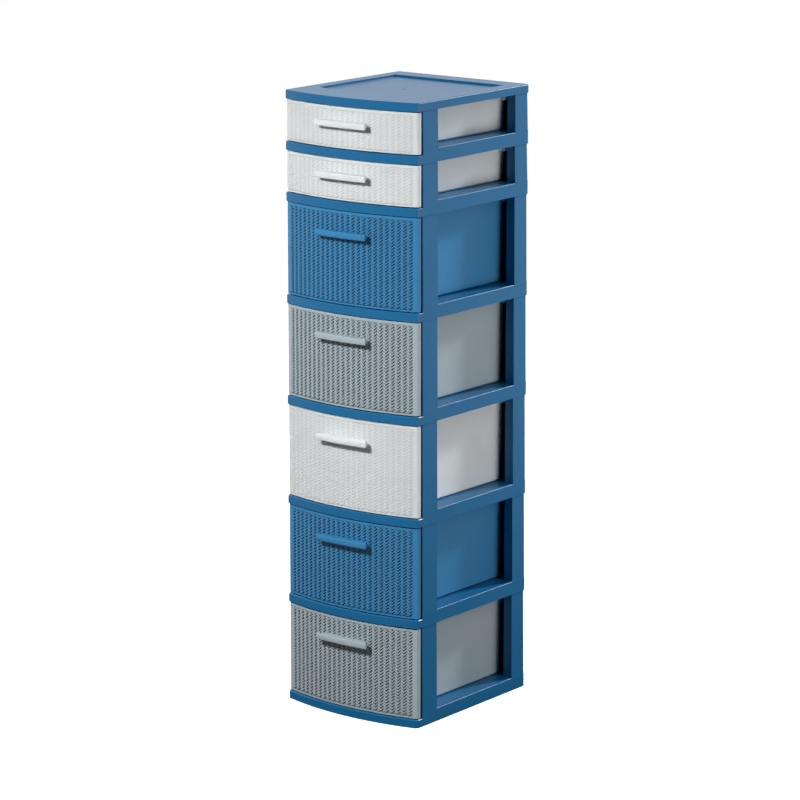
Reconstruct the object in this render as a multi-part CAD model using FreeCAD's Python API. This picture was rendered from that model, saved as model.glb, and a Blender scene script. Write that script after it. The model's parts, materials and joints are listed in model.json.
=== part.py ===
import FreeCAD, Part
import math
import os

from FreeCAD import Vector

# A stacking drawer tower: seven moulded tier frames under a top cover, each with a drawer and its pull bar.
# Millimetres, +Z up, front towards -Y. The origin is on the floor, in the middle of the space it takes.

# Driving sizes of the tower
tower_width = 320.0
side_length = 335.0
bow_depth = 23.0
lip_lead = 16.0
shallow_pitch = 98.0
deep_pitch = 198.0
cover_height = 16.5
tier_kinds = ["shallow", "shallow", "deep", "deep", "deep", "deep", "deep"]

# Tier frame moulding
wall = 2.4
mould_taper = 1.6
band_height = 16.5
rail_height = 26.0
corner_round = 8.0
rear_round = 8.0
edge_round = 1.5
post_step = 0.4
front_post = 46.0
rear_post = 46.0
rear_return = 20.0
deck_rib = 1.8
deck_rib_depth = 9.0
deck_rib_count = 2
runner_place = 92.0
runner_width = 6.0
runner_height = 2.0
stop_width = 24.0
stop_thick = 5.0
stop_height = 8.0
spigot_height = 9.0
spigot_root = 7.0
spigot_side = 30.0
spigot_rear = 44.0
back_sink = 1.0
back_margin = 22.0

# Fits between the pieces
socket_gap = 0.3
running_gap = 0.3
floor_gap = 1.0
guide_gap = 1.0
front_gap = 2.0
return_gap = 4.5

# Drawer moulding
box_half_width = 119.5
box_draft = 3.0
box_rear_gap = 18.5
box_corner = 20.0
box_wall = 2.0
box_floor = 2.2
box_floor_round = 3.0
rim_width = 2.0
rim_height = 2.2
rim_drop = 2.0
lug_reach = 7.0
lug_length = 10.0
lug_height = 9.0
front_inset = 1.5
front_set_back = 3.0
front_wall = 3.2
front_round = 7.0
field_sink = 1.4
field_side = 10.5
field_top = 5.5
field_bottom = 3.0
wing_rib = 1.6
wing_rib_count = 1

# Pull bar, clipped into the drawer front
pull_reach = 17.5
pull_length = 118.0
pull_wall = 2.2
pull_shelf = 2.2
pull_lip = 11.0
pull_rise = 0.8
pull_bulge = 1.2
pull_bend = 2.6
pull_taper = 15.0
ear_depth = 7.0
ear_wall = 2.0
pull_drop_shallow = 28.0
pull_drop_deep = 40.0
clip_place = 38.0
clip_width = 12.0
clip_tail = 6.0
clip_barb = 1.2
clip_barb_length = 2.4
clip_gap = 0.25

# Top cover
panel_sink = 4.0
panel_side = 29.0
panel_rear = 46.0
panel_front = 74.0
panel_round = 6.0
cover_round = 2.5
cover_rib_depth = 3.5
gate_radius = 4.5
gate_sink = 0.5

# One overrun serves every cut
overrun = 5.0

# Places that follow from the sizes
half_width = tower_width / 2
overall_depth = side_length + lip_lead + bow_depth - front_set_back + pull_reach
back_face = overall_depth / 2
post_front = back_face - side_length
bow_radius = (half_width ** 2 + bow_depth ** 2) / (2 * bow_depth)
bow_centre = post_front - lip_lead - bow_depth + bow_radius
front_radius = bow_radius - front_set_back
field_radius = front_radius - field_sink
front_half_width = half_width - front_inset
window_front = post_front + front_post
window_rear = back_face - rear_post
drawer_floor = rail_height + floor_gap
channel_top = rail_height + runner_height + running_gap
guide_half = box_half_width + box_draft + rim_width + guide_gap
pitch_of = {"shallow": shallow_pitch, "deep": deep_pitch}
pull_drop_of = {"shallow": pull_drop_shallow, "deep": pull_drop_deep}


def bow_front(radius, x):
    """The Y of a bowed front at a given X: a circle about the shared bow centre."""
    return bow_centre - math.sqrt(radius ** 2 - x ** 2)


def bowed_wire(half, radius, rear, z):
    """A straight-sided outline whose front edge is an arc about the bow centre."""
    corner = bow_front(radius, half)
    left_rear = Vector(-half, rear, z)
    right_rear = Vector(half, rear, z)
    right_front = Vector(half, corner, z)
    left_front = Vector(-half, corner, z)
    apex = Vector(0, bow_centre - radius, z)
    return Part.Wire([
        Part.LineSegment(left_rear, right_rear).toShape(),
        Part.LineSegment(right_rear, right_front).toShape(),
        Part.Arc(right_front, apex, left_front).toShape(),
        Part.LineSegment(left_front, left_rear).toShape(),
    ])


def upright_edges(solid, height, middle, ahead):
    """The edges that run up a block, on one side of its middle."""
    tall = [edge for edge in solid.Edges if edge.BoundBox.ZLength > height / 2]
    return [edge for edge in tall if (edge.BoundBox.Center.y < middle) == ahead]


def round_uprights(solid, height, middle, front_corner, rear_corner):
    """Rounds the upright corners of a block: the front ones, then the rear ones."""
    if front_corner > 0:
        solid = solid.makeFillet(front_corner, upright_edges(solid, height, middle, True))
    if rear_corner > 0:
        solid = solid.makeFillet(rear_corner, upright_edges(solid, height, middle, False))
    return solid


def bowed_block(half, radius, rear, low, high, front_corner, rear_corner):
    """An upright block with a bowed front and rounded corners."""
    block = Part.Face(bowed_wire(half, radius, rear, low)).extrude(Vector(0, 0, high - low))
    middle = (bow_front(radius, half) + rear) / 2
    return round_uprights(block, high - low, middle, front_corner, rear_corner)


def slab(points, along):
    """A flat outline pushed along a direction."""
    return Part.Face(Part.makePolygon(points + points[:1])).extrude(along)


def drafted_block(half, front, rear, low, high, lean, front_corner, rear_corner):
    """A rectangular block whose sides and back lean outwards by lean towards its top."""
    across = slab([
        Vector(-half, front, low), Vector(half, front, low),
        Vector(half + lean, front, high), Vector(-half - lean, front, high),
    ], Vector(0, rear + abs(lean) - front, 0))
    along = slab([
        Vector(-half - abs(lean), front, low), Vector(-half - abs(lean), rear, low),
        Vector(-half - abs(lean), rear + lean, high), Vector(-half - abs(lean), front, high),
    ], Vector(2 * half + 2 * abs(lean), 0, 0))
    return round_uprights(
        across.common(along), high - low, (front + rear) / 2, front_corner, rear_corner)


def block_between(x_low, x_high, y_low, y_high, z_low, z_high):
    """A plain block given by its six faces."""
    return Part.makeBox(x_high - x_low, y_high - y_low, z_high - z_low, Vector(x_low, y_low, z_low))


def mirrored(shape):
    """The same shape on the other side of the tower."""
    return shape.mirror(Vector(0, 0, 0), Vector(1, 0, 0))


def both_sides(shape):
    return [shape, mirrored(shape)]


def evenly(low, high, count):
    """Places that divide a span into equal bays, ends left out."""
    step = (high - low) / (count + 1)
    return [low + step * (i + 1) for i in range(count)]


def frame_shell(pitch):
    """The outer shell of a tier: bowed band in front, rails at the sides, posts and back above a deck."""
    band = bowed_block(half_width, bow_radius, back_face, 0, band_height, corner_round, rear_round)
    top_edges = [edge for edge in band.Edges if edge.BoundBox.ZMin > band_height / 2]
    band = band.makeChamfer(edge_round, top_edges)
    rails = drafted_block(half_width, post_front, back_face, 0, rail_height, 0, edge_round, rear_round)
    uprights = drafted_block(
        half_width - post_step, post_front + post_step, back_face - post_step,
        rail_height, pitch, post_step - mould_taper, edge_round, rear_round)
    skirt_room = bowed_block(
        half_width - wall, bow_radius - wall, back_face - wall,
        -overrun, band_height - wall, corner_round - wall, rear_round - wall)
    deck_room = drafted_block(
        half_width - wall, post_front + wall, back_face - wall,
        -overrun, rail_height - wall, 0, 0, rear_round - wall)
    bay = drafted_block(
        half_width - post_step - wall, post_front + post_step + wall, back_face - post_step - wall,
        rail_height, pitch, post_step - mould_taper, 0, rear_round - wall)
    return band.fuse([rails, uprights]).cut(skirt_room).cut(deck_room).cut(bay).removeSplitter()


def frame_openings(pitch):
    """The drawer's way in between the front posts, and the two side windows."""
    top = pitch + overrun
    doorway = block_between(
        -guide_half, guide_half, post_front - overrun, post_front + wall + overrun, rail_height, top)
    window = block_between(
        guide_half, tower_width, window_front, window_rear, rail_height, top)
    return [doorway] + both_sides(window)


def post_returns(pitch):
    """The inward flanges of the posts: the front one guides the drawer and catches its lugs."""
    outer = half_width - wall - mould_taper / 2
    front_flange = block_between(guide_half, outer, window_front - wall, window_front, rail_height, pitch)
    rear_flange = block_between(
        half_width - rear_return, outer, window_rear, window_rear + wall, rail_height, pitch)
    return both_sides(front_flange) + both_sides(rear_flange)


def spigots(pitch):
    """Tongues on the post tops that locate in the skirt of the piece above."""
    outer = half_width - wall - socket_gap
    rear = back_face - wall - socket_gap
    low = pitch - spigot_root
    high = pitch + spigot_height
    front_tongue = block_between(
        outer - wall, outer, post_front + wall, post_front + wall + spigot_side, low, high)
    rear_end = back_face - rear_round - wall
    rear_tongue = block_between(outer - wall, outer, rear_end - spigot_side, rear_end, low, high)
    back_middle = half_width - rear_round - wall - spigot_rear / 2
    back_tongue = block_between(
        back_middle - spigot_rear / 2, back_middle + spigot_rear / 2, rear - wall, rear, low, high)
    tongues = [front_tongue, rear_tongue, back_tongue]
    return [piece for tongue in tongues for piece in both_sides(tongue)]


def underside_ribs(top, depth, front):
    """A grid of ribs under a deck or cover, between the skirt walls."""
    reach = half_width - wall / 2
    rear = back_face - wall / 2
    ribs = []
    for y in evenly(front, rear, deck_rib_count):
        ribs.append(block_between(-reach, reach, y - deck_rib / 2, y + deck_rib / 2, top - depth, top))
    for x in evenly(-half_width, half_width, deck_rib_count):
        ribs.append(block_between(x - deck_rib / 2, x + deck_rib / 2, front, rear, top - depth, top))
    return ribs


def deck_furniture():
    """Two runners under the drawer, and the blocks that stop it when it is pushed home."""
    top = rail_height + runner_height
    runner = block_between(
        runner_place - runner_width / 2, runner_place + runner_width / 2,
        post_front + edge_round, window_rear, rail_height - wall / 2, top)
    stop_front = back_face - box_rear_gap - box_draft + guide_gap / 2
    stop = block_between(
        runner_place - stop_width / 2, runner_place + stop_width / 2,
        stop_front, stop_front + stop_thick, rail_height - wall / 2, rail_height + stop_height)
    return both_sides(runner) + both_sides(stop)


def back_recess(pitch):
    """The sunk field that stiffens the back wall, as deep at its foot as at its top."""
    field = block_between(
        -half_width + rear_post, half_width - rear_post, window_rear, back_face + overrun,
        rail_height + back_margin / 2, pitch - back_margin / 2)
    kept = drafted_block(
        half_width, post_front, back_face - post_step - back_sink,
        rail_height, pitch, post_step - mould_taper, 0, 0)
    return field.cut(kept)


def sill_rounding():
    """What rounds the outer edge of a window sill: a square corner less a quarter round."""
    centre = Vector(half_width - edge_round, window_front, rail_height - edge_round)
    length = window_rear - window_front
    corner = Part.makeBox(edge_round + overrun, length, edge_round + overrun, centre)
    return corner.cut(Part.makeCylinder(edge_round, length, centre, Vector(0, 1, 0)))


def tier_frame(kind):
    """One stacking frame, made with its bottom edge on the floor."""
    pitch = pitch_of[kind]
    frame = frame_shell(pitch)
    for opening in frame_openings(pitch):
        frame = frame.cut(opening)
    for rounding in both_sides(sill_rounding()):
        frame = frame.cut(rounding)
    frame = frame.cut(back_recess(pitch))
    additions = post_returns(pitch) + spigots(pitch) + deck_furniture()
    additions += underside_ribs(rail_height - wall / 2, deck_rib_depth + wall / 2, post_front + wall / 2)
    return frame.fuse(additions).removeSplitter()


def top_cover():
    """The lid: the same bowed outline, a sunk top panel, ribs below."""
    cover = bowed_block(half_width, bow_radius, back_face, 0, cover_height, corner_round, rear_round)
    top_edges = [edge for edge in cover.Edges if edge.BoundBox.ZMin > cover_height / 2]
    cover = cover.makeFillet(cover_round, top_edges)
    room = bowed_block(
        half_width - wall, bow_radius - wall, back_face - wall,
        -overrun, cover_height - wall, corner_round - wall, rear_round - wall)
    panel_half = half_width - panel_side
    panel_radius = bow_radius - panel_front
    panel_back = back_face - panel_rear
    sunk = bowed_block(
        panel_half, panel_radius, panel_back,
        cover_height - panel_sink, cover_height + overrun, panel_round, panel_round)
    under = bowed_block(
        panel_half + wall, panel_radius + wall, panel_back + wall,
        cover_height - panel_sink - wall, cover_height, panel_round + wall, panel_round + wall)
    cover = cover.cut(room.cut(under))
    ribs = underside_ribs(cover_height - wall / 2, panel_sink + cover_rib_depth + wall / 2, post_front)
    gate_middle = (back_face + bow_centre - bow_radius) / 2
    gate = Part.makeCylinder(
        gate_radius, overrun, Vector(0, gate_middle, cover_height - panel_sink - gate_sink))
    return cover.fuse(ribs).cut(sunk).cut(gate).removeSplitter()


def box_block(inset, low, high, height):
    """The drafted drawer box, set in all round by inset, between two heights above its floor."""
    lean_low = box_draft * (low - drawer_floor) / height
    lean_high = box_draft * (high - drawer_floor) / height
    rear = back_face - box_rear_gap - box_draft
    return drafted_block(
        box_half_width + lean_low - inset, bow_centre - front_radius, rear + lean_low - inset,
        low, high, lean_high - lean_low, 0, box_corner - inset)


def bow_sector(inner_radius, outer_radius, half, low, high):
    """A slice of a ring about the bow centre, between two X values."""
    centre = Vector(0, bow_centre, low)
    ring = Part.makeCylinder(outer_radius, high - low, centre)
    ring = ring.cut(Part.makeCylinder(inner_radius, high - low, centre))
    keep = block_between(-half, half, -overall_depth, post_front + front_post, low, high)
    return ring.common(keep)


def drawer_front(low, high):
    """The bowed front plate with its side returns, and the sunk field for the knit relief."""
    rear = post_front - return_gap
    plate = bowed_block(front_half_width, front_radius, rear, low, high, front_round, 0)
    room = bowed_block(
        front_half_width - front_wall, front_radius - front_wall, rear + overrun,
        low - overrun, high + overrun, front_round - front_wall, 0)
    field = bow_sector(
        field_radius, front_radius + overrun, front_half_width - field_side,
        low + field_bottom, high - field_top)
    return plate.cut(room).cut(field)


def clip_places():
    return [-clip_place, clip_place]


def clip_slots(shelf_low):
    """Openings in the drawer front for the pull bar's clips."""
    slots = []
    for x in clip_places():
        half = clip_width / 2 + clip_gap
        slots.append(block_between(
            x - half, x + half, -overall_depth, bow_front(front_radius - front_wall, x) + overrun,
            shelf_low - clip_gap, shelf_low + pull_shelf + clip_gap))
    return slots


def floor_ring(block):
    """The edges round a box's floor, but for the one in front."""
    return [
        edge for edge in block.Edges
        if edge.BoundBox.ZMax < drawer_floor + 2 * box_floor and edge.BoundBox.Center.y > post_front]


def drawer(kind):
    """One drawer, a drafted box behind a wider bowed front, where it lies in a tier on the floor."""
    pitch = pitch_of[kind]
    low = band_height + front_gap
    high = pitch - front_gap
    rim_top = high - rim_drop
    height = rim_top - drawer_floor
    inside_bow = Part.makeCylinder(
        front_radius - front_wall, height + overrun, Vector(0, bow_centre, drawer_floor))
    skin_bow = Part.makeCylinder(front_radius - front_wall / 2, pitch, Vector(0, bow_centre, 0))
    shell = box_block(0, drawer_floor, rim_top, height)
    shell = shell.makeChamfer(box_floor_round, floor_ring(shell))
    rim = box_block(-rim_width, rim_top - rim_height, rim_top, height)
    shell = shell.fuse(rim).common(skin_bow)
    room = box_block(box_wall, drawer_floor + box_floor, rim_top + overrun, height)
    room = room.makeChamfer(box_floor_round - box_wall / 2, floor_ring(room)).common(inside_bow)
    body = shell.cut(room).fuse(drawer_front(low, high))
    extras = drawer_lugs(rim_top) + drawer_wings(low, high) + channel_ridges()
    body = body.fuse(extras)
    for channel in runner_channels():
        body = body.cut(channel)
    shelf_low = high - pull_drop_of[kind]
    for slot in clip_slots(shelf_low):
        body = body.cut(slot)
    return body.removeSplitter()


def drawer_lugs(rim_top):
    """Stops at the rear of the rim, which meet the front posts' flanges when the drawer is out."""
    front = window_rear + wall + guide_gap
    lug = block_between(
        box_half_width, guide_half + lug_reach, front, front + lug_length, rim_top - lug_height, rim_top)
    return both_sides(lug)


def channel_ridges():
    """The ridges inside the box that keep the floor's thickness over the runners."""
    half = runner_width / 2 + guide_gap / 2 + box_wall
    rear = back_face - box_rear_gap - box_draft - box_wall / 2
    ridge = block_between(
        runner_place - half, runner_place + half, post_front, rear,
        drawer_floor + box_floor / 2, channel_top + box_floor)
    return both_sides(ridge)


def runner_channels():
    """The grooves under the box in which the tier's runners lie."""
    half = runner_width / 2 + guide_gap / 2
    channel = block_between(
        runner_place - half, runner_place + half, post_front - return_gap, back_face,
        drawer_floor - overrun, channel_top)
    return both_sides(channel)


def drawer_wings(low, high):
    """Webs that carry the front plate's wings from the box sides."""
    webs = []
    reach = bow_sector(
        front_radius - bow_depth, front_radius - front_wall / 2,
        front_half_width - front_wall / 2, low, high)
    for z in evenly(low, high, wing_rib_count):
        web = block_between(
            box_half_width - box_wall / 2 + box_draft / 2, front_half_width - front_wall / 2,
            -overall_depth, post_front - return_gap, z - wing_rib / 2, z + wing_rib / 2)
        webs += both_sides(web.common(reach))
    return webs


def pull_profile(shelf_low):
    """The bar's section: a level shelf out from the front, then a lip that stands a little over it."""
    root = field_radius
    outer = front_radius + pull_reach - pull_bulge
    inner = outer - pull_wall
    shelf_top = shelf_low + pull_shelf
    top = shelf_top + pull_rise
    bottom = shelf_top - pull_lip
    outline = [
        (root, shelf_top), (inner, shelf_top), (inner, top), (outer, top),
        (outer + pull_bulge, top - pull_bend), (outer + pull_bulge, bottom + pull_bend),
        (outer, bottom), (inner, bottom), (inner, shelf_low), (root, shelf_low),
    ]
    points = [Vector(0, bow_centre - radius, z) for radius, z in outline]
    return Part.makePolygon(points + points[:1])


def pull_bar(kind):
    """A pull bar swept about the bow centre, with two barbed clips through the drawer front."""
    shelf_low = pitch_of[kind] - front_gap - pull_drop_of[kind]
    half_turn = math.degrees(math.asin(pull_length / 2 / front_radius))
    axis = Vector(0, bow_centre, 0)
    face = Part.Face(pull_profile(shelf_low))
    face.rotate(axis, Vector(0, 0, 1), -half_turn)
    bar = face.revolve(axis, Vector(0, 0, 1), 2 * half_turn)
    for notch in both_sides(shelf_notch(shelf_low)):
        bar = bar.cut(notch)
    for ear in both_sides(lip_ear(shelf_low)):
        bar = bar.fuse(ear)
    for x in clip_places():
        bar = bar.fuse(clip(x, shelf_low))
    return bar.removeSplitter()


def lip_end():
    """Where the lip's inner face ends: its radius about the bow centre and its X."""
    radius = front_radius + pull_reach - pull_bulge - pull_wall
    return radius, radius * pull_length / 2 / front_radius


def shelf_notch(shelf_low):
    """What narrows the shelf from the lip towards its root."""
    radius, end = lip_end()
    at_lip = bow_front(radius, end)
    at_root = bow_front(field_radius, end)
    low = shelf_low - overrun
    return slab([
        Vector(end, at_lip, low), Vector(end + overrun, at_lip, low),
        Vector(end + overrun, at_root + overrun, low), Vector(end - pull_taper, at_root + overrun, low),
        Vector(end - pull_taper, at_root, low),
    ], Vector(0, 0, pull_shelf + 2 * overrun))


def lip_ear(shelf_low):
    """A three-cornered web that stiffens the end of the lip."""
    radius, end = lip_end()
    at_lip = bow_front(radius + pull_wall / 2, end)
    bottom = shelf_low + pull_shelf - pull_lip
    return slab([
        Vector(end - ear_wall, at_lip, bottom),
        Vector(end - ear_wall, at_lip + ear_depth, shelf_low),
        Vector(end - ear_wall, at_lip + ear_depth, shelf_low + pull_shelf / 2),
        Vector(end - ear_wall, at_lip, shelf_low + pull_shelf / 2),
    ], Vector(ear_wall, 0, 0))


def clip(x, shelf_low):
    """A tongue from the shelf's root through the drawer front, with a barb behind it."""
    root = bow_front(field_radius + pull_wall, x)
    behind = bow_front(front_radius - front_wall, abs(x) + clip_width / 2) + clip_gap
    tail = behind + clip_tail
    top = shelf_low + pull_shelf
    corner = [
        Vector(x - clip_width / 2, root, shelf_low),
        Vector(x - clip_width / 2, tail, shelf_low),
        Vector(x - clip_width / 2, tail, top),
        Vector(x - clip_width / 2, behind + clip_barb_length, top + clip_barb),
        Vector(x - clip_width / 2, behind, top + clip_barb),
        Vector(x - clip_width / 2, behind, top),
        Vector(x - clip_width / 2, root, top),
    ]
    return Part.Face(Part.makePolygon(corner + corner[:1])).extrude(Vector(clip_width, 0, 0))


def placed(shape, z):
    copy = shape.copy()
    copy.translate(Vector(0, 0, z))
    return copy


def main():
    os.makedirs("parts", exist_ok=True)
    frames = {kind: tier_frame(kind) for kind in pitch_of}
    drawers = {kind: drawer(kind) for kind in pitch_of}
    pulls = {kind: pull_bar(kind) for kind in pitch_of}
    pieces = {}
    z = sum(pitch_of[kind] for kind in tier_kinds)
    pieces["top_cover"] = placed(top_cover(), z)
    for number, kind in enumerate(tier_kinds, 1):
        z -= pitch_of[kind]
        pieces["tier_frame_%d" % number] = placed(frames[kind], z)
        pieces["drawer_%d" % number] = placed(drawers[kind], z)
        pieces["pull_bar_%d" % number] = placed(pulls[kind], z)
    for name, shape in pieces.items():
        shape.exportStep("parts/%s.step" % name)
        print(name, shape.isValid(), len(shape.Solids), round(shape.Volume))


main()
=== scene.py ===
import json
import math

import bmesh
import bpy
import numpy as np
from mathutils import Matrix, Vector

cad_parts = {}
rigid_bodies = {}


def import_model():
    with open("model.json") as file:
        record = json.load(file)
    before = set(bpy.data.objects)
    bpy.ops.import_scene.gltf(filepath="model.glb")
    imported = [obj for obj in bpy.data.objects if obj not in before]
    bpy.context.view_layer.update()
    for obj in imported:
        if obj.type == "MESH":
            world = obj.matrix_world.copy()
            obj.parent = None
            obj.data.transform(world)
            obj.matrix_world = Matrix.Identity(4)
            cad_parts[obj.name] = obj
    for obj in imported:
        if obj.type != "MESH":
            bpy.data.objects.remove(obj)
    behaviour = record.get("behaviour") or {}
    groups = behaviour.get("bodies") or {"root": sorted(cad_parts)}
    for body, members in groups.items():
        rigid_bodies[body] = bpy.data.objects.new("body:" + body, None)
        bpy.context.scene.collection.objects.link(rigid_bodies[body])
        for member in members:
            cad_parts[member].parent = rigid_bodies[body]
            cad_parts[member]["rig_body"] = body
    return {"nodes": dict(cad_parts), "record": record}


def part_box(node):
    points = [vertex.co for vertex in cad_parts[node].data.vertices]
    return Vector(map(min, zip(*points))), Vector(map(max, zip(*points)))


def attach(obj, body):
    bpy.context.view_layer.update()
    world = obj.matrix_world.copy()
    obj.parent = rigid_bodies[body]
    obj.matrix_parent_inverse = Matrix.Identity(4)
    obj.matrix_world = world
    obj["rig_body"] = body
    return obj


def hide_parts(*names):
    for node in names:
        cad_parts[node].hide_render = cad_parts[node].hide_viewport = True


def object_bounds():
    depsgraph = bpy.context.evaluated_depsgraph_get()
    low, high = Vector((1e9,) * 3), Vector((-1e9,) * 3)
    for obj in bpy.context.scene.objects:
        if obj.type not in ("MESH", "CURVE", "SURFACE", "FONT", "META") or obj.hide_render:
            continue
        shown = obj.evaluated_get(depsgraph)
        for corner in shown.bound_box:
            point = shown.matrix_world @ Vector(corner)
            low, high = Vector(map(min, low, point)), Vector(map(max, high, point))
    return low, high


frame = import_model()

# Lengths are in metres, except where a note gives another unit
scene = bpy.context.scene
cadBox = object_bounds()

# The tiers are numbered from the top, as the nodes are
tierNumbers = sorted(int(name.split("_")[-1]) for name in frame["nodes"] if name.startswith("tier_frame_"))
slotOf = {part["node"]: part["material_slot"] for part in frame["record"]["subparts"]}
print("frame loaded:", len(tierNumbers), "tiers")


cameraValues = {
    "turn": 38.0,  # degrees round to the tower's right
    "drop": 12.74,  # degrees that it looks down
    "aim": (-0.003, -0.002, 0.5945),
    "distance": 6.618,
    "lens": 153.72,  # millimetres, as is the sensor's width
    "sensor": 36.0,
    "farthest": 60.0,  # that it sees
}


# Place = aim less the viewing direction times the distance
def addCamera(values):
    turn, drop = math.radians(values["turn"]), math.radians(values["drop"])
    ahead = np.array([-math.sin(turn) * math.cos(drop), math.cos(turn) * math.cos(drop), -math.sin(drop)])
    lens = bpy.data.cameras.new("camera")
    lens.lens = values["lens"]
    lens.sensor_width = values["sensor"]
    lens.clip_end = values["farthest"]
    camera = bpy.data.objects.new("camera", lens)
    camera.location = np.array(values["aim"]) - ahead * values["distance"]
    camera.rotation_euler = (math.pi / 2 - drop, 0, turn)
    scene.collection.objects.link(camera)
    scene.camera = camera


addCamera(cameraValues)


# Puts a link or a plain value into a socket
def feed(tree, socket, value):
    if isinstance(value, Level):
        tree.links.new(value.socket, socket)
    else:
        socket.default_value = value


# A socket whose operators add the Math nodes that work them out
class Level:
    def __init__(self, tree, socket):
        self.tree = tree
        self.socket = socket

    def worked(self, operation, *terms):
        node = self.tree.nodes.new("ShaderNodeMath")
        node.operation = operation
        for socket, term in zip(node.inputs, terms):
            feed(self.tree, socket, term)
        return Level(self.tree, node.outputs[0])

    def __add__(self, other):
        return self.worked("ADD", self, other)

    def __radd__(self, other):
        return self.worked("ADD", other, self)

    def __sub__(self, other):
        return self.worked("SUBTRACT", self, other)

    def __rsub__(self, other):
        return self.worked("SUBTRACT", other, self)

    def __mul__(self, other):
        return self.worked("MULTIPLY", self, other)

    def __rmul__(self, other):
        return self.worked("MULTIPLY", other, self)

    def __pow__(self, other):
        return self.worked("POWER", self, other)

    def __rpow__(self, other):
        return self.worked("POWER", other, self)

    def least(self, other):
        return self.worked("MINIMUM", self, other)

    def most(self, other):
        return self.worked("MAXIMUM", self, other)


# One material: node() adds any node, sets it and fills its sockets
class Finish:
    def __init__(self, name):
        self.material = bpy.data.materials.new(name)
        self.material.use_nodes = True
        self.tree = self.material.node_tree
        self.shader = self.tree.nodes["Principled BSDF"]

    def node(self, kind, output=0, settings=None, **sockets):
        node = self.tree.nodes.new(kind)
        for name, value in (settings or {}).items():
            setattr(node, name, value)
        for name, value in sockets.items():
            feed(self.tree, node.inputs[name.replace("_", " ")], value)
        return Level(self.tree, node.outputs[output])

    def mixed(self, share, first, second):
        node = self.tree.nodes.new("ShaderNodeMix")
        node.data_type = "RGBA"
        for place, value in ((0, share), (6, first), (7, second)):  # the colour form's factor, A and B
            feed(self.tree, node.inputs[place], value)
        return Level(self.tree, node.outputs[2])

    def end(self, **sockets):
        for name, value in sockets.items():
            feed(self.tree, self.shader.inputs[name.replace("_", " ")], value)
        return self.material


# Satin moulded plastics, by slot: colours are linear, knitShine is the gloss of the knit relief,
# groove the share of the colour left at a groove's bottom, a painted shade standing in for the
# shade that falls there, and milky the share of light that spreads inside
plasticValues = {
    "frame_plastic": {"colour": (0.008, 0.131, 0.300), "roughness": 0.33, "shine": 0.28, "milky": 0.0},
    "white_plastic": {
        "colour": (0.730, 0.762, 0.764), "roughness": 0.60, "shine": 0.14, "milky": 0.5,
        "knitShine": 0.30, "paintedGrooveShade": 0.74},
    "blue_plastic": {
        "colour": (0.046, 0.222, 0.436), "roughness": 0.46, "shine": 0.20, "milky": 0.0,
        "knitShine": 0.50, "paintedGrooveShade": 0.30},
    "grey_plastic": {
        "colour": (0.390, 0.465, 0.500), "roughness": 0.48, "shine": 0.22, "milky": 0.0,
        "knitShine": 0.45, "paintedGrooveShade": 0.24},
}

# The moulded skin that the plastics share; sizes of patterns are counts per metre
skinValues = {
    "flowSize": 7.0,  # clouds in the melt
    "flowStretch": (1.0, 1.0, 0.35),
    "flowDetail": 4.0,
    "flowShare": 0.8,  # of the colour's wandering, the rest being specks
    "speckSize": 300.0,
    "grainSize": 900.0,  # spark-eroded grain of the mould
    "grainDepth": 0.00006,
    "wavySize": 60.0,  # slow waviness
    "wavyDepth": 0.00025,
    "fineDetail": 2.0,
    "tone": 0.06,  # share by which the colour wanders
    "smoothest": 0.05,  # roughness lost where both patterns are at nothing
    "dullness": 0.06,  # roughness that each pattern adds at its most
    "milkyDepth": 0.007,  # metres that light spreads in a milky plastic
    "paintedGrooveShadeCurve": 0.7,  # power by which the painted groove shade fades from groove to crest
}


def shaded(colour, share):
    return tuple(min(1.0, part * share) for part in colour) + (1.0,)


def noise(finish, where, size, detail):
    return finish.node("ShaderNodeTexNoise", Vector=where, Scale=size, Detail=detail)


# Colour wanders with slow clouds drawn out along Z; grain and waviness bend the normal;
# the relief attribute, 0 in a groove and 1 on a crest, darkens the knit's grooves with painted shade
def mouldedPlastic(name, values, skin, knit):
    colour = values["colour"]
    finish = Finish(name)
    place = finish.node("ShaderNodeTexCoord", output="Object")
    drawn = finish.node("ShaderNodeMapping", Vector=place, Scale=skin["flowStretch"])
    cloud = noise(finish, drawn, skin["flowSize"], skin["flowDetail"])
    speck = noise(finish, place, skin["speckSize"], skin["fineDetail"])
    wavy = noise(finish, place, skin["wavySize"], skin["fineDetail"])
    grain = noise(finish, place, skin["grainSize"], skin["fineDetail"])
    share = cloud * skin["flowShare"] + speck * (1 - skin["flowShare"])
    base = finish.mixed(share, shaded(colour, 1 - skin["tone"]), shaded(colour, 1 + skin["tone"]))
    shine = values["shine"]
    if knit:
        shine = values["knitShine"]
        crest = finish.node("ShaderNodeAttribute", output="Fac", settings={"attribute_name": "relief"})
        # painted shade: the colour darkens towards each groove's bottom, where shade would fall
        base = finish.mixed(crest ** skin["paintedGrooveShadeCurve"], shaded(colour, values["paintedGrooveShade"]), base)
    bump = finish.node("ShaderNodeBump", Strength=1.0, Distance=skin["wavyDepth"], Height=wavy)
    normal = finish.node(
        "ShaderNodeBump", Strength=1.0, Distance=skin["grainDepth"], Height=grain, Normal=bump)
    roughness = values["roughness"] - skin["smoothest"] + speck * skin["dullness"] + cloud * skin["dullness"]
    finish.shader.subsurface_method = "BURLEY"
    return finish.end(
        Base_Color=base, Roughness=roughness, Normal=normal, Specular_IOR_Level=shine,
        Subsurface_Weight=values["milky"], Subsurface_Scale=skin["milkyDepth"],
        Subsurface_Radius=(1.0, 1.0, 1.0))


materials = {}
for slot, values in plasticValues.items():
    materials[slot] = mouldedPlastic(slot, values, skinValues, False)
    if "knitShine" in values:
        materials[slot + "_knit"] = mouldedPlastic(slot + "_knit", values, skinValues, True)
print("materials made:", len(materials))


# Makes an object of a mesh, gives it its body, slot and material
def addPiece(name, mesh, body, material):
    mesh.materials.clear()
    mesh.materials.append(material)
    piece = bpy.data.objects.new(name, mesh)
    scene.collection.objects.link(piece)
    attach(piece, body)
    return piece


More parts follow.
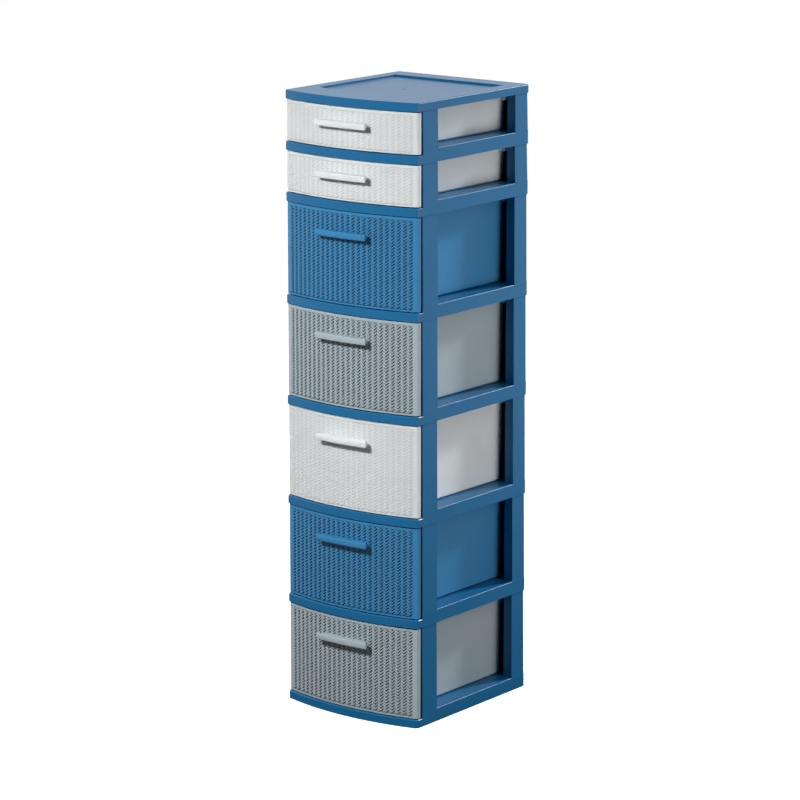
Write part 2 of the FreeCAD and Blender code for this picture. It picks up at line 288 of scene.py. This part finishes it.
# Keeps a piece's mesh as its modifiers leave it
def settle(piece):
    bpy.context.view_layer.update()
    seen = piece.evaluated_get(bpy.context.evaluated_depsgraph_get())
    mesh = bpy.data.meshes.new_from_object(seen)
    piece.modifiers.clear()
    piece.data = mesh


edgeValues = {
    "weld": 0.00001,  # metres under which two points are one
    "flat": 0.4,  # degrees under which neighbouring facets are one face
    "sharp": 28.0,  # degrees over which an edge is rounded off
    "rounds": 2,  # facets in a rounded edge
    "faceWeight": 100,  # how far the large faces rule the shading
    "radius": {"tier_frame": 0.0011, "drawer": 0.0007, "pull_bar": 0.0006, "top_cover": 0.0009},
}


# Joins points that lie together and, where an angle is given, facets that are flatter than it
def weld(mesh, flat=None):
    work = bmesh.new()
    work.from_mesh(mesh)
    bmesh.ops.remove_doubles(work, verts=work.verts, dist=edgeValues["weld"])
    if flat is not None:
        bmesh.ops.dissolve_limit(work, angle_limit=math.radians(flat), verts=work.verts, edges=work.edges)
    work.to_mesh(mesh)
    work.free()


# A copy of a CAD node, its facets welded and its sharp edges rounded to the given radius
def roundedCopy(node, name, radius):
    mesh = frame["nodes"][node].data.copy()
    weld(mesh, edgeValues["flat"])
    mesh.shade_smooth()
    piece = addPiece(name, mesh, frame["nodes"][node]["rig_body"], materials[slotOf[node]])
    bevel = piece.modifiers.new("edges", "BEVEL")
    bevel.width = radius
    bevel.segments = edgeValues["rounds"]
    bevel.limit_method = "ANGLE"
    bevel.angle_limit = math.radians(edgeValues["sharp"])
    bevel.use_clamp_overlap = True
    weighted = piece.modifiers.new("shading", "WEIGHTED_NORMAL")
    weighted.weight = edgeValues["faceWeight"]
    weighted.keep_sharp = True
    settle(piece)
    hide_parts(node)


roundedCopy("top_cover", "lid", edgeValues["radius"]["top_cover"])
for number in tierNumbers:
    roundedCopy("tier_frame_%d" % number, "tierFrame_%d" % number, edgeValues["radius"]["tier_frame"])
    roundedCopy("drawer_%d" % number, "drawerShell_%d" % number, edgeValues["radius"]["drawer"])
    roundedCopy("pull_bar_%d" % number, "pullBar_%d" % number, edgeValues["radius"]["pull_bar"])
print("mouldings finished")


knitValues = {
    "columns": 24,
    "rowHeight": 0.0061,
    "halfWidth": 0.148,  # of the field on the drawer front
    "sink": 0.0014,  # of the field's floor under the front's surface
    "setBack": 0.003,  # of the drawer front behind the frame's bow
    "bowDepth": 0.023,
    "below": 0.003,  # plain strip under the field
    "above": 0.0055,  # plain strip over it
    "climb": 0.95,  # rows that a stitch's leg rises across half a column
    "low": {  # of the grooves over the field's floor
        "white_plastic": 0.0007, "blue_plastic": 0.0001, "grey_plastic": 0.0001},
    "high": {  # of the crests over it
        "white_plastic": 0.0017, "blue_plastic": 0.0025, "grey_plastic": 0.0025},
    "leftDepth": 0.45,  # share of the depth that the grooves of a column's left half have
    "fade": 0.0016,  # height over which the relief dies away at the field's top and bottom
    "tuck": 0.0002,  # by which the sheet's rim goes in under the floor
    "acrossSteps": 10,  # grid lines in each column
    "rowPlaces": (0.0, 0.10, 0.20, 0.26, 0.32, 0.38, 0.44, 0.72),  # grid lines in each row
    "footPlace": 0.20,  # share of a row that the groove takes
    "crestPlace": 0.44,  # share of a row at which a leg is highest
    "undersidePower": 0.8,  # steepness of a leg from foot to crest
    "backPower": 1.8,  # roundness of its back
    "sideDip": 0.45,  # share of its height that a leg loses at its column's sides
    "middleDip": 0.25,  # and at its middle
    "dipPower": 8,  # narrowness of those dips
}


# Joins a grid of points, rows by columns, into quads
def gridMesh(name, points):
    rows, columns = points.shape[:2]
    index = np.arange(rows * columns).reshape(rows, columns)
    quads = np.stack([index[:-1, :-1], index[:-1, 1:], index[1:, 1:], index[1:, :-1]], axis=-1)
    mesh = bpy.data.meshes.new(name)
    mesh.from_pydata(points.reshape(-1, 3), [], quads.reshape(-1, 4))
    mesh.shade_smooth()
    return mesh


# Height of the stitches, 0 to 1, by column and row: up each row a groove, then a steep underside
# as a power of the height, then a back that falls as 1 less a power; legs sink where they meet
def stitches(values, column, row, side):
    share = row % 1
    under = (share - values["footPlace"]) / (values["crestPlace"] - values["footPlace"])
    over = (share - values["crestPlace"]) / (1 - values["crestPlace"])
    underside = np.clip(under, 0, 1) ** values["undersidePower"]
    back = 1 - np.clip(over, 0, 1) ** values["backPower"]
    leg = np.where(over < 0, underside, back)
    leg = np.where(column % 1 < 0.5, 1 - values["leftDepth"] * (1 - leg), leg)
    power = values["dipPower"]
    dip = values["sideDip"] * side ** power + values["middleDip"] * (1 - side) ** power
    return leg * (1 - dip)


# Radius about the bow's centre = field radius + height, where the height follows stitches
# whose legs rise from a column's middle to its sides
def addKnit(number, values):
    low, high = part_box("drawer_%d" % number)
    slot = slotOf["drawer_%d" % number]
    bottom = low.z + values["below"]
    top = high.z - values["above"]
    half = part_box("top_cover")[1].x
    bowRadius = (half ** 2 + values["bowDepth"] ** 2) / (2 * values["bowDepth"])
    frontRadius = bowRadius - values["setBack"]
    fieldRadius = frontRadius - values["sink"]
    centre = low.y + frontRadius
    reach = math.asin(values["halfWidth"] / fieldRadius)

    across = np.linspace(0, values["columns"], values["columns"] * values["acrossSteps"] + 1)
    rows = (top - bottom) / values["rowHeight"]
    along = (np.arange(-1, math.ceil(rows))[:, None] + np.array(values["rowPlaces"])).ravel()
    column, row = np.meshgrid(across, along)
    side = np.abs(2 * (column % 1) - 1)  # 0 in a column's middle, 1 at its sides
    z = np.clip(bottom + values["rowHeight"] * (row + values["climb"] * side), bottom, top)
    fade = np.clip(np.minimum(z - bottom, top - z) / values["fade"], 0, 1)
    crest = stitches(values, column, row, side) * fade
    turn = reach * (2 * column / values["columns"] - 1)
    radius = fieldRadius + values["low"][slot] + (values["high"][slot] - values["low"][slot]) * crest

    turn, z = (np.pad(block, 1, mode="edge") for block in (turn, z))
    crest = np.pad(crest, 1)
    radius = np.pad(radius, 1, constant_values=fieldRadius - values["tuck"])
    points = np.stack([radius * np.sin(turn), centre - radius * np.cos(turn), z], axis=-1)
    mesh = gridMesh("knitRelief_%d" % number, points)
    relief = mesh.attributes.new("relief", "FLOAT", "POINT")
    relief.data.foreach_set("value", crest.astype(np.float32).ravel())
    weld(mesh)
    addPiece("knitRelief_%d" % number, mesh, "drawer_body_%d" % number, materials[slot + "_knit"])


for number in tierNumbers:
    addKnit(number, knitValues)
print("knit reliefs made")


lampValues = {
    "key": {
        "place": (-0.1, -1.9, 1.96), "aim": (-0.1, -1.83, 0.0), "size": 0.4, "power": 80.5, "glints": False},
    "side": {
        "place": (1.8, 0.6, 2.0), "aim": (0.0, 0.0, 0.6), "size": 1.2, "power": 6.0, "glints": True},
    "right": {
        "place": (1.7, 0.1, 0.7), "aim": (0.0, 0.1, 0.6), "size": 1.0, "power": 10.5, "glints": True},
    "left": {
        "place": (-2.2, 0.5, 0.9), "aim": (0.0, 0.1, 0.6), "size": 1.2, "power": 20.0, "glints": True},
    "back": {
        "place": (1.0, 3.0, 2.4), "aim": (0.0, 0.0, 0.6), "size": 0.4, "power": 125.0, "glints": True},
}


# A square lamp, its power in watts, that faces the aim; without glints it shows in no reflection
def addLamp(name, values):
    lamp = bpy.data.lights.new(name, "AREA")
    lamp.size = values["size"]
    lamp.energy = values["power"]
    holder = bpy.data.objects.new(name, lamp)
    holder.location = values["place"]
    away = np.array(values["place"]) - np.array(values["aim"])
    level = math.hypot(away[0], away[1])
    holder.rotation_euler = (math.atan2(level, away[2]), 0, math.atan2(away[1], away[0]) + math.pi / 2)
    holder.visible_glossy = values["glints"]
    scene.collection.objects.link(holder)


for name, values in lampValues.items():
    addLamp(name, values)


black, white = (0.0, 0.0, 0.0, 1.0), (1.0, 1.0, 1.0, 1.0)
worldValues = {"strength": 0.01}


# Plain light for the object; camera, mirror and glass rays see white
def addWorld(values):
    world = bpy.data.worlds.new("studio")
    world.use_nodes = True
    tree = world.node_tree
    tree.nodes.clear()
    path = tree.nodes.new("ShaderNodeLightPath")
    seen = Level(tree, path.outputs["Is Camera Ray"]) + Level(tree, path.outputs["Is Glossy Ray"])
    seen = (seen + Level(tree, path.outputs["Is Transmission Ray"])).least(1.0)
    background = tree.nodes.new("ShaderNodeBackground")
    feed(tree, background.inputs["Color"], white)
    feed(tree, background.inputs["Strength"], seen * (1 - values["strength"]) + values["strength"])
    output = tree.nodes.new("ShaderNodeOutputWorld")
    tree.links.new(background.outputs[0], output.inputs[0])
    scene.world = world


addWorld(worldValues)


floorValues = {
    "half": 30.0,  # of its side
    "lines": 3,  # grid lines each way
    "colour": (0.8, 0.8, 0.8, 1.0),
    "unseen": (0.12, 0.12, 0.12, 1.0),  # its colour to every ray but the camera's
    "roughness": 0.9,
    "lift": 0.72,  # near the tower
    "near": 1.0,  # metres out to which that lift holds
    "rise": 0.15,  # lift gained per metre beyond
    "mirrorNear": 0.8,  # metres out to which reflections see the floor dark
    "mirrorRise": 0.35,  # lift that they gain per metre beyond
}


# A wide flat square: camera and glass rays see it lifted to white, shadow kept; the lift rises
# with the distance from the tower, where the lamps no longer reach, and in mirror rays from nothing
def addFloor(values):
    steps = np.linspace(-values["half"], values["half"], values["lines"])
    x, y = np.meshgrid(steps, steps)
    mesh = gridMesh("floor", np.stack([x, y, np.full_like(x, cadBox[0][2])], axis=-1))
    finish = Finish("paleFloor")
    path = finish.node("ShaderNodeLightPath", output="Is Camera Ray")
    mirror = finish.node("ShaderNodeLightPath", output="Is Glossy Ray")
    clear = finish.node("ShaderNodeLightPath", output="Is Transmission Ray")
    place = finish.node("ShaderNodeTexCoord", output="Object")
    away = finish.node(
        "ShaderNodeVectorMath", output="Value", settings={"operation": "LENGTH"}, Vector=place)
    rise = (away - values["near"]).most(0.0) * values["rise"]
    lift = (path + clear).least(1.0) * (rise + values["lift"]).least(1.0)
    lift = lift + mirror * ((away - values["mirrorNear"]).most(0.0) * values["mirrorRise"]).least(1.0)
    finish.end(
        Base_Color=finish.mixed(path, values["unseen"], values["colour"]),
        Roughness=values["roughness"], Specular_IOR_Level=0.0,
        Emission_Color=finish.mixed(lift, black, white), Emission_Strength=1.0)
    mesh.materials.append(finish.material)
    floor = bpy.data.objects.new("floor", mesh)
    scene.collection.objects.link(floor)


addFloor(floorValues)
scene.view_settings.view_transform = "Standard"
print("stage set")
